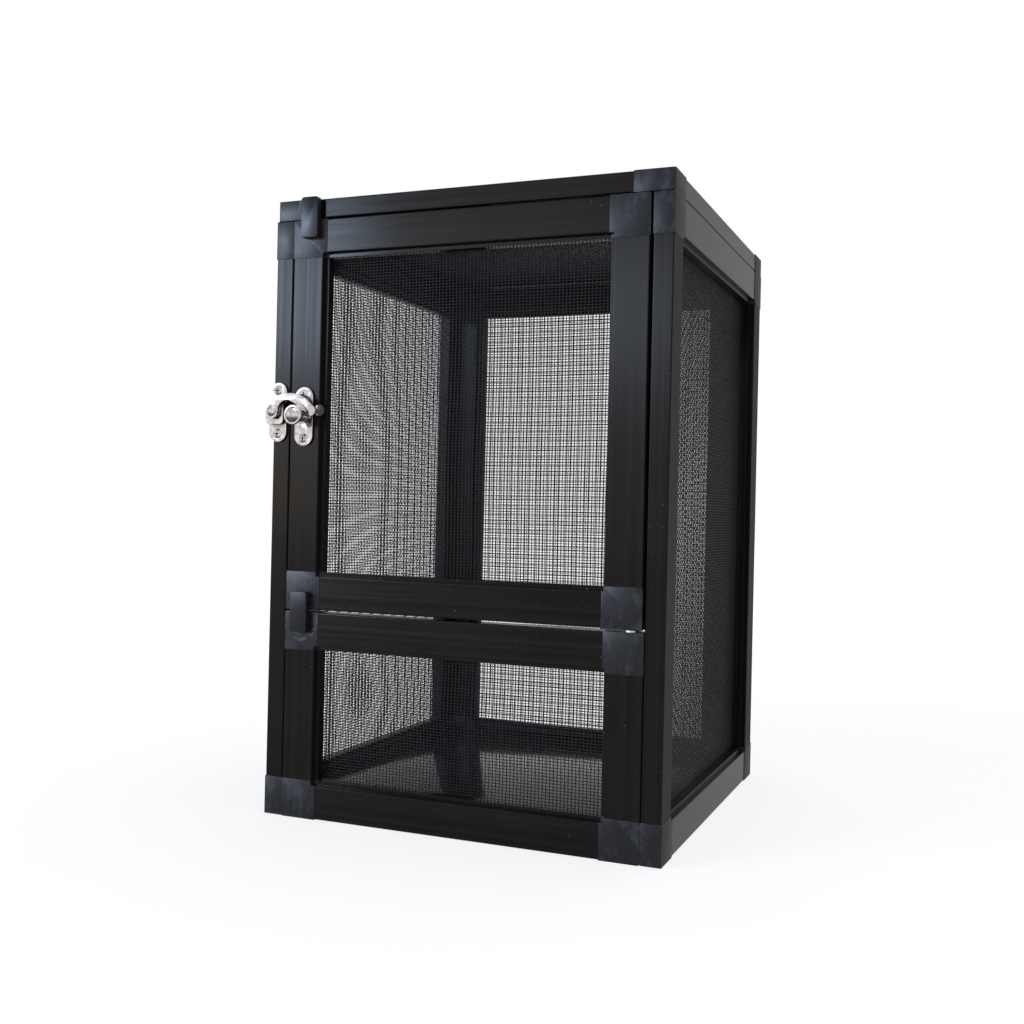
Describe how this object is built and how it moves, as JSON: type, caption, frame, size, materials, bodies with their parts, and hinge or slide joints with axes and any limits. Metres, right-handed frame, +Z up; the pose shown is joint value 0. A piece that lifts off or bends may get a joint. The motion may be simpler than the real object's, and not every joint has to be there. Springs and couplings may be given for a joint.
{
  "type": "reptile terrarium",
  "caption": "Upright screen cage for small reptiles, with black framed mesh panels, a loose floor board, a hinged upper front door, a swing latch and turn tabs.",
  "frame": {"origin": "on the surface that the cage stands on, under the middle of the whole outline, latch included, so the cage itself sits back by half the latch's reach", "axes": "+Z up, +Y from the front to the back, +X to the right as seen from the front"},
  "size_m": [0.2217, 0.2342, 0.3304],
  "materials": {
    "frame_black": "black anodised, satin, with fine lines along its length",
    "corner_plastic": "matte moulded black plastic",
    "wire_mesh": "black woven wire",
    "spline_rubber": "matte",
    "board_plastic": "glossy black sheet with fine scratches",
    "latch_chrome": "polished",
    "pin_steel": "plain"
  },
  "bodies": {
    "cage": {"left_wall_front_stile": "frame_black", "left_wall_back_stile": "frame_black", "left_wall_top_rail": "frame_black", "left_wall_bottom_rail": "frame_black", "left_wall_corners": "corner_plastic", "left_wall_mesh": "wire_mesh", "left_wall_spline": "spline_rubber", "right_wall_front_stile": "frame_black", "right_wall_back_stile": "frame_black", "right_wall_top_rail": "frame_black", "right_wall_bottom_rail": "frame_black", "right_wall_corners": "corner_plastic", "right_wall_mesh": "wire_mesh", "right_wall_spline": "spline_rubber", "back_wall_stiles": "frame_black", "back_wall_rails": "frame_black", "back_wall_corners": "corner_plastic", "back_wall_mesh": "wire_mesh", "back_wall_spline": "spline_rubber", "floor_side_rails": "frame_black", "floor_end_rails": "frame_black", "floor_corners": "corner_plastic", "floor_mesh": "wire_mesh", "floor_spline": "spline_rubber", "floor_board": "board_plastic", "lid_left_rail": "frame_black", "lid_right_rail": "frame_black", "lid_front_rail": "frame_black", "lid_back_rail": "frame_black", "lid_corners": "corner_plastic", "lid_mesh": "wire_mesh", "lid_spline": "spline_rubber", "lower_front_left_stile": "frame_black", "lower_front_right_stile": "frame_black", "lower_front_top_rail": "frame_black", "lower_front_bottom_rail": "frame_black", "lower_front_corners": "corner_plastic", "lower_front_mesh": "wire_mesh", "lower_front_spline": "spline_rubber", "upper_hinge_pin": "pin_steel", "lower_hinge_pin": "pin_steel", "panel_pegs": "corner_plastic", "latch_post_plate": "latch_chrome", "latch_post_screws": "latch_chrome", "latch_pivot": "latch_chrome", "tab_studs": "corner_plastic"},
    "upper_door": {"door_left_stile": "frame_black", "door_right_stile": "frame_black", "door_top_rail": "frame_black", "door_bottom_rail": "frame_black", "door_free_corners": "corner_plastic", "door_hinge_corners": "corner_plastic", "door_mesh": "wire_mesh", "door_spline": "spline_rubber", "latch_door_plate": "latch_chrome", "latch_knob": "latch_chrome", "latch_door_screws": "latch_chrome"},
    "latch_arm": {"latch_arm": "latch_chrome"},
    "top_tab": {"top_tab": "corner_plastic"},
    "lower_tab": {"lower_tab": "corner_plastic"}
  },
  "joints": [
    {"name": "door_swing", "type": "hinge", "parent": "cage", "child": "upper_door", "pos_m": [0.09225, -0.09932, 0.1109], "axis": [0, 0, 1], "range_deg": [0, 120]},
    {"name": "latch_swing", "type": "hinge", "parent": "cage", "child": "latch_arm", "pos_m": [-0.1064, -0.10293, 0.2164], "axis": [0, -1, 0], "range_deg": [0, 100]},
    {"name": "top_tab_turn", "type": "hinge", "parent": "cage", "child": "top_tab", "pos_m": [-0.0869, -0.10293, 0.32475], "axis": [0, 1, 0], "range_deg": [0, 90]},
    {"name": "lower_tab_turn", "type": "hinge", "parent": "cage", "child": "lower_tab", "pos_m": [-0.0901, -0.10293, 0.10485], "axis": [0, 1, 0], "range_deg": [0, 90]}
  ]
}
